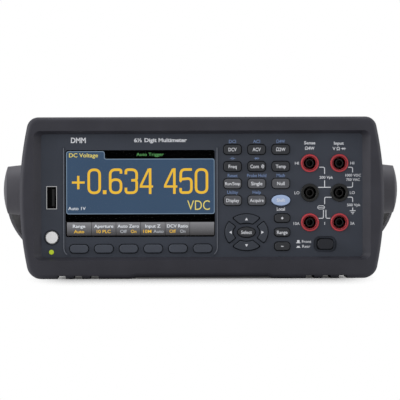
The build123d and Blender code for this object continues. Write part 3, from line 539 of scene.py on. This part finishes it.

# painted shade: a darker ring on the inner lip of the red terminals, where the bore falls into shade
lip = dict(radius=4.5, width=0.6)
marks = []
for m in (hiSense, hiInput, tenAmp, threeAmp):
    marks.append(ribbon(arcPoints(m.x, m.z, lip["radius"], lip["radius"], 0, 350, 35), lip["width"], True))
inkPiece("terminal_lip_painted_shade", marks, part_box("jack_rings_red")[0].y + skin, "ringRedPaintedShade", "root", 0.03)
print("panel legends done")

# display contents, on the module's glass behind the window
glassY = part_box("display_module")[0].y
x0, x1 = window[0].x + 0.7, window[1].x - 0.35
z0, z1 = window[0].z, window[1].z
layer = 0.06
body = dict(top=z1 - 5.75, low=z0 + 14.85, tabTop=z1 - 0.85, tabRight=x0 + 24.3, corner=1.4)
bodyPath = [
    (x0, body["low"]), (x1, body["low"]), (x1, body["top"]), (body["tabRight"], body["top"]),
    (body["tabRight"], body["tabTop"]), (x0, body["tabTop"]),
]
bodyRound = roundPath(bodyPath, body["corner"], True, 6)
inkPiece("screen_black", [rectangle(window[0].x, window[1].x, z0, z1)],
         glassY + skin, "screenBlack", "root", 0.04)
inkPiece("screen_body", [area(bodyRound)], glassY - 0.03 * mm + skin, "screenBlue", "root", layer)
inkPiece("screen_outline", [ribbon(bodyRound, 0.42, True)], glassY - 0.08 * mm, "screenEdge", "root", layer)
inkY = glassY - 0.085 * mm

numeral = (12.7, 29.2)  # foot and top above the lower edge of the blue field
digits = [  # kind, left, right, then its own foot and top
    ("+", 3.4, 11.6, 15.9, 24.5), ("0", 13.4, 22.1, *numeral), (".", 23.3, 25.6, numeral[0], 15.2),
    ("6", 27.2, 35.8, *numeral), ("3", 37.3, 45.9, *numeral), ("4", 47.0, 55.6, *numeral),
    ("4", 62.6, 71.2, *numeral), ("5", 72.5, 81.1, *numeral), ("0", 82.4, 91.1, *numeral),
]


def digitMarks(kind, a, b, low, high, stroke=1.65):  # narrow rounded numerals from even strokes
    h = stroke / 2
    left, right, bottom, top = a + h, b - h, low + h, high - h
    mid = (left + right) / 2
    rx = (right - left) / 2
    tall = top - bottom
    if kind == "0":
        path = roundPath([(left, bottom), (right, bottom), (right, top), (left, top)], rx, True, 8)
        return [ribbon(path, stroke, True)]
    if kind == "+":
        z = (low + high) / 2
        flat, upright = stroke * 0.82, stroke * 0.9
        return [line([(a, z), (b, z)], flat), line([(mid, z + flat / 2), (mid, high)], upright),
                line([(mid, low), (mid, z - flat / 2)], upright)]
    if kind == ".":
        return [rectangle(a, b, low, high)]
    if kind == "6":
        crown = bottom + tall * 0.57
        loop = roundPath([(left, bottom), (right, bottom), (right, crown), (left, crown)], rx, True, 8)
        hook = [(right, top - tall * 0.17), (right, top), (left, top), (left, bottom + tall * 0.29)]
        return [ribbon(loop, stroke, True), ribbon(roundPath(hook, rx, False, 8), stroke)]
    if kind == "3":
        waist = [(right, bottom + tall * 0.54), (mid, bottom + tall * 0.54)]
        upper = [(left, top - tall * 0.2), (left, top), (right, top), *waist]
        lower = [(left, bottom + tall * 0.22), (left, bottom), (right, bottom), *waist]
        return [ribbon(roundPath(half, rx * 0.95, False, 8), stroke) for half in (upper, lower)]
    if kind == "4":
        x = b - stroke * 1.15
        cross = low + (high - low) * 0.29
        slope = [(x - h, high - 0.4), (a + h, cross + h), (a + h * 0.9, cross), (b, cross)]
        return [line([(x, low), (x, high)], stroke), line(slope, stroke * 0.86)]
    five = [
        (right + h * 0.4, top), (left + h * 0.3, top), (left, bottom + tall * 0.5),
        (left + 0.3, bottom + tall * 0.58), (right, bottom + tall * 0.62), (right, bottom), (left, bottom),
        (left, bottom + tall * 0.2),
    ]
    return [ribbon(roundPath(five, rx * 0.8, False, 8), stroke)]


marks = []
for kind, a, b, low, high in digits:
    marks += digitMarks(kind, x0 + a, x0 + b, body["low"] + low, body["low"] + high)
inkPiece("screen_digits", marks, inkY, "screenYellow", "root", layer)
inkPiece("screen_unit", [glyph("VDC", x0 + 77.6, x0 + 92.1, body["low"] + 2.3, body["low"] + 8.5, -0.004)],
         inkY, "screenPale", "root", layer)
inkPiece("screen_function", [textMark("DC Voltage", x0 + 10.9, body["tabTop"] - 2.35, 2.5, 18.6, 0.012)],
         inkY, "screenPale", "root", layer)
inkPiece("screen_trigger", [textMark("Auto Trigger", x0 + 53.7, z1 - 2.7, 1.95, 17.4, -0.004)],
         glassY - 0.03 * mm, "screenGreen", "root", layer)
inkPiece("screen_note", [textMark("Auto 1V", x0 + 6.6, body["low"] + 3.5, 2.0, 11.3, 0.004)],
         inkY, "screenWhite", "root", layer)

bar = dict(low=z0 + 0.9, high=z0 + 9.4, cells=6)
mats["screenBar"] = makeGlow("screenBar", (62, 61, 62), (bar["low"] * mm, bar["high"] * mm, (132, 132, 136)))
pitch = (x1 - x0) / bar["cells"]
cells = []
for i in range(bar["cells"]):
    a, b = x0 + i * pitch + 0.12, x0 + (i + 1) * pitch - 0.12
    cells.append(rectangle(a, b, bar["low"], bar["high"]))
inkPiece("screen_bar", cells, glassY - 0.03 * mm, "screenBar", "root", layer)
barText = [  # cell, words, width, then pairs of words, sideways place, width, picked
    ("Range", 8.0, [("Auto", 0.0, 6.6, True)]),
    ("Aperture", 12.4, [("10 PLC", 0.0, 9.0, True)]),
    ("Auto Zero", 13.8, [("Off", -3.1, 4.3, False), ("On", 3.4, 3.6, True)]),
    ("Input Z", 9.8, [("10M", -3.6, 5.3, True), ("Auto", 3.6, 6.6, False)]),
    ("DCV Ratio", 13.4, [("Off", -3.1, 4.1, True), ("On", 3.4, 3.4, False)]),
]
white, picked, dim = [], [], []
for i, (words, width, under) in enumerate(barText):
    x = x0 + (i + 0.5) * pitch
    white.append(textMark(words, x, bar["high"] - 2.5, 1.95, width, 0.012))
    for word, offset, span, chosen in under:
        (picked if chosen else dim).append(textMark(word, x + offset, bar["high"] - 5.9, 1.95, span, 0.012))
inkPiece("screen_bar_titles", white, inkY, "screenWhite", "root", layer)
inkPiece("screen_bar_chosen", picked, inkY, "screenYellow", "root", layer)
inkPiece("screen_bar_other", dim, inkY, "screenSoft", "root", layer)
print("display done")

# rear legends
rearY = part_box("rear_panel")[1].y
rear = {n: p * 1000 for n, p in mounts.items() if n.startswith("rear_")}
bncLow, bncHigh = (v * 1000 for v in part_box("bnc_jacks"))
lan, usbB = middleOf("data_ports") * 1000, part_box("data_ports")[0] * 1000
inlet = middleOf("power_inlet") * 1000


def rearText(words, x, z, height, width=None, weight=0.012):  # reads the right way from behind
    verts, faces = textMark(words, 0, z, height, width, weight)
    return [Vector((x - v.x, v.y)) for v in verts], [tuple(reversed(f)) for f in faces]


marks = [
    rearText("Sense", rear["rear_sense_hi"].x, rear["rear_sense_hi"].z + 9.2, 1.9),
    rearText("Input", rear["rear_input_hi"].x, rear["rear_input_hi"].z + 9.2, 1.9),
    rearText("HI", rear["rear_sense_hi"].x - 8.4, rear["rear_sense_hi"].z, 1.8),
    rearText("HI", rear["rear_input_hi"].x + 8.4, rear["rear_input_hi"].z, 1.8),
    rearText("LO", rear["rear_sense_lo"].x - 8.4, rear["rear_sense_lo"].z, 1.8),
    rearText("LO", rear["rear_input_lo"].x + 8.6, rear["rear_input_lo"].z, 1.8),
    rearText("10A", rear["rear_current_10a"].x - 8.9, rear["rear_current_10a"].z, 1.8),
    rearText("Ext Trig", (bncLow.x + bncHigh.x) / 2, bncHigh.z + 2.8, 2.0),
    rearText("VM Comp", (bncLow.x + bncHigh.x) / 2, bncLow.z - 3.0, 2.0),
    rearText("LAN", usbB.x + 32.1, inlet.z + 8.2, 2.0),
    rearText("USB", usbB.x + 5.2, inlet.z + 8.2, 2.0),
    rearText("Line 100-240 V  50/60 Hz", inlet.x, inlet.z - 16.6, 2.0),
]
inkPiece("legend_rear", marks, rearY - skin, "inkDark", "root", 0.05, 1)
print("rear legends done")

# floor, lights, camera
stage = dict(floorHalf=1.2, seen=0.5, base=0.05, bounce=0.28, footX=0.082, footY=0.13, sideRate=4, fade=0.13)
floorMesh = bpy.data.meshes.new("floor")
s = stage["floorHalf"]
floorMesh.from_pydata([(-s, -s, 0), (s, -s, 0), (s, s, 0), (-s, s, 0)], [], [(0, 1, 2, 3)])
floor = bpy.data.objects.new("floor", floorMesh)
bpy.context.scene.collection.objects.link(floor)
floorMat = bpy.data.materials.new("floorPale")
floorMat.use_nodes = True
tree = floorMat.node_tree
tree.nodes.remove(tree.nodes["Principled BSDF"])
rays = tree.nodes.new("ShaderNodeLightPath")
pale = tree.nodes.new("ShaderNodeBsdfDiffuse")  # over-bright to the camera, so only the contact shadow shows
pale.inputs["Color"].default_value = (stage["seen"],) * 3 + (1,)
base = tree.nodes.new("ShaderNodeEmission")
base.inputs["Strength"].default_value = stage["base"]
lit = tree.nodes.new("ShaderNodeAddShader")
dull = tree.nodes.new("ShaderNodeBsdfDiffuse")
dull.inputs["Color"].default_value = (stage["bounce"],) * 3 + (1,)
pick = tree.nodes.new("ShaderNodeMixShader")
gone = tree.nodes.new("ShaderNodeBsdfTransparent")  # fades out away from the instrument
coords = tree.nodes.new("ShaderNodeTexCoord")
steps = []
footprint = (stage["footX"], stage["footY"], 0)
for kind, vector in (("ABSOLUTE", None), ("SUBTRACT", footprint), ("MAXIMUM", (0, 0, 0)),
                     ("MULTIPLY", (stage["sideRate"], 1, 1)), ("LENGTH", None)):
    step = tree.nodes.new("ShaderNodeVectorMath")
    step.operation = kind
    if vector:
        step.inputs[1].default_value = vector
    if steps:
        tree.links.new(steps[-1].outputs["Vector"], step.inputs[0])
    steps.append(step)
fade = tree.nodes.new("ShaderNodeMapRange")
fade.interpolation_type = "SMOOTHSTEP"
fade.inputs["From Max"].default_value = stage["fade"]
ends = tree.nodes.new("ShaderNodeMixShader")
link = tree.links.new
link(rays.outputs["Is Camera Ray"], pick.inputs["Fac"])
link(pale.outputs[0], lit.inputs[0])
link(base.outputs[0], lit.inputs[1])
link(dull.outputs[0], pick.inputs[1])
link(lit.outputs[0], pick.inputs[2])
link(coords.outputs["Object"], steps[0].inputs[0])
link(steps[-1].outputs["Value"], fade.inputs["Value"])
link(fade.outputs["Result"], ends.inputs["Fac"])
link(pick.outputs[0], ends.inputs[1])
link(gone.outputs[0], ends.inputs[2])
link(ends.outputs[0], tree.nodes["Material Output"].inputs["Surface"])
floorMesh.materials.append(floorMat)

world = bpy.data.worlds.new("studio")
bpy.context.scene.world = world
world.use_nodes = True
tree = world.node_tree
sky = tree.nodes["Background"]
sky.inputs["Color"].default_value = (1, 1, 1, 1)
rays = tree.nodes.new("ShaderNodeLightPath")
seen = tree.nodes.new("ShaderNodeMath")
seen.operation = "MAXIMUM"
level = tree.nodes.new("ShaderNodeMapRange")
worldLight = 0.56
level.inputs["To Min"].default_value = worldLight
level.inputs["To Max"].default_value = 1.0
tree.links.new(rays.outputs["Is Camera Ray"], seen.inputs[0])
tree.links.new(rays.outputs["Is Transmission Ray"], seen.inputs[1])
tree.links.new(seen.outputs[0], level.inputs["Value"])
tree.links.new(level.outputs["Result"], sky.inputs["Strength"])

lamps = {
    "keyLeft": dict(at=(-1.6, -1.9, 0.75), aim=(0, -0.05, 0.05), size=1.2, power=5.0),
    "grazeLeft": dict(at=(-1.8, -0.5, 0.6), aim=(0, -0.1, 0.05), size=0.8, power=15.0),
    "grazeRight": dict(at=(1.6, -0.45, 0.45), aim=(0, -0.1, 0.05), size=0.7, power=6.7),
    "lowLeft": dict(at=(-0.75, -0.12, -0.25), aim=(-0.12, -0.08, 0.04), size=0.3, power=0.9),
    "lowRight": dict(at=(0.75, -0.12, -0.25), aim=(0.12, -0.08, 0.04), size=0.3, power=0.45),
    "topSoft": dict(at=(0, 0.1, 1.9), aim=(0, 0, 0.05), size=1.6, power=14),
}
for name, lamp in lamps.items():
    data = bpy.data.lights.new(name, "AREA")
    data.size = lamp["size"]
    data.energy = lamp["power"]
    obj = bpy.data.objects.new(name, data)
    bpy.context.scene.collection.objects.link(obj)
    obj.location = lamp["at"]
    obj.rotation_euler = (Vector(lamp["aim"]) - obj.location).to_track_quat("-Z", "Y").to_euler()

shot = dict(distance=1.65, side=-0.028, rise=0.0705, aim=(-0.0014, 0.0505), across=0.2563, roll=0.18)
camData = bpy.data.cameras.new("camera")
camData.sensor_width = 36
camData.lens = 36 * shot["distance"] / shot["across"]
cam = bpy.data.objects.new("camera", camData)
bpy.context.scene.collection.objects.link(cam)
cam.location = (shot["side"], cadLow.y - shot["distance"], shot["rise"])
target = Vector((shot["aim"][0], cadLow.y, shot["aim"][1]))
look = (target - cam.location).to_track_quat("-Z", "Y")
cam.rotation_euler = (look @ Quaternion((0, 0, 1), math.radians(-shot["roll"]))).to_euler()
bpy.context.scene.camera = cam
bpy.context.scene.view_settings.view_transform = "Standard"
print("stage done")
